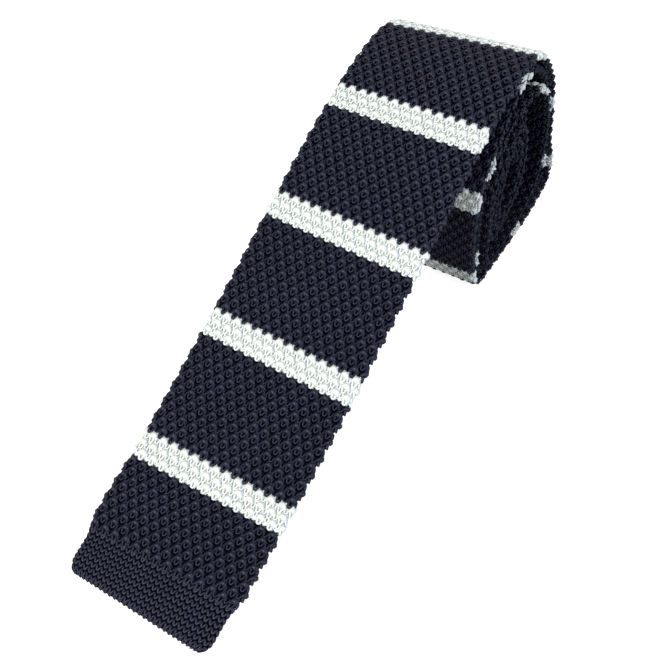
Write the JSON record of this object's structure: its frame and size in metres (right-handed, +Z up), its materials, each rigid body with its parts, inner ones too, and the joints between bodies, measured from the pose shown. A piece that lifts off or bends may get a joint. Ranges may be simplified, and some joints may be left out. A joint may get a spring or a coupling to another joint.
{
  "type": "rolled knit tie",
  "caption": "Slim square-ended knit tie with white cross stripes: its front blade slopes down to the table from a loose roll that holds the neck band and tail.",
  "frame": {"origin": "on the table, under the middle of the tie's box", "axes": "+X to the right across the blade and along the roll's axis, +Y from the blade's tip back to the roll, +Z up"},
  "size_m": [0.0628, 0.2424, 0.0861],
  "materials": {
    "navy_yarn": "matt knitted wool or silk yarn, very dark blue",
    "white_yarn": "matt knitted yarn, cool white"
  },
  "bodies": {
    "root": {"front_hem": "navy_yarn", "navy_band_01": "navy_yarn", "navy_band_02": "navy_yarn", "navy_band_03": "navy_yarn", "navy_band_04": "navy_yarn", "navy_band_05": "navy_yarn", "navy_band_06": "navy_yarn", "navy_band_07": "navy_yarn", "navy_band_08": "navy_yarn", "navy_band_09": "navy_yarn", "navy_band_10": "navy_yarn", "navy_band_11": "navy_yarn", "navy_band_12": "navy_yarn", "navy_band_13": "navy_yarn", "navy_band_14": "navy_yarn", "navy_band_15": "navy_yarn", "navy_band_16": "navy_yarn", "navy_band_17": "navy_yarn", "plain_blade": "navy_yarn", "neck_band": "navy_yarn", "tail": "navy_yarn", "tail_hem": "navy_yarn", "white_stripe_01": "white_yarn", "white_stripe_02": "white_yarn", "white_stripe_03": "white_yarn", "white_stripe_04": "white_yarn", "white_stripe_05": "white_yarn", "white_stripe_06": "white_yarn", "white_stripe_07": "white_yarn", "white_stripe_08": "white_yarn", "white_stripe_09": "white_yarn", "white_stripe_10": "white_yarn", "white_stripe_11": "white_yarn", "white_stripe_12": "white_yarn", "white_stripe_13": "white_yarn", "white_stripe_14": "white_yarn", "white_stripe_15": "white_yarn", "white_stripe_16": "white_yarn", "white_stripe_17": "white_yarn"}
  },
  "joints": []
}
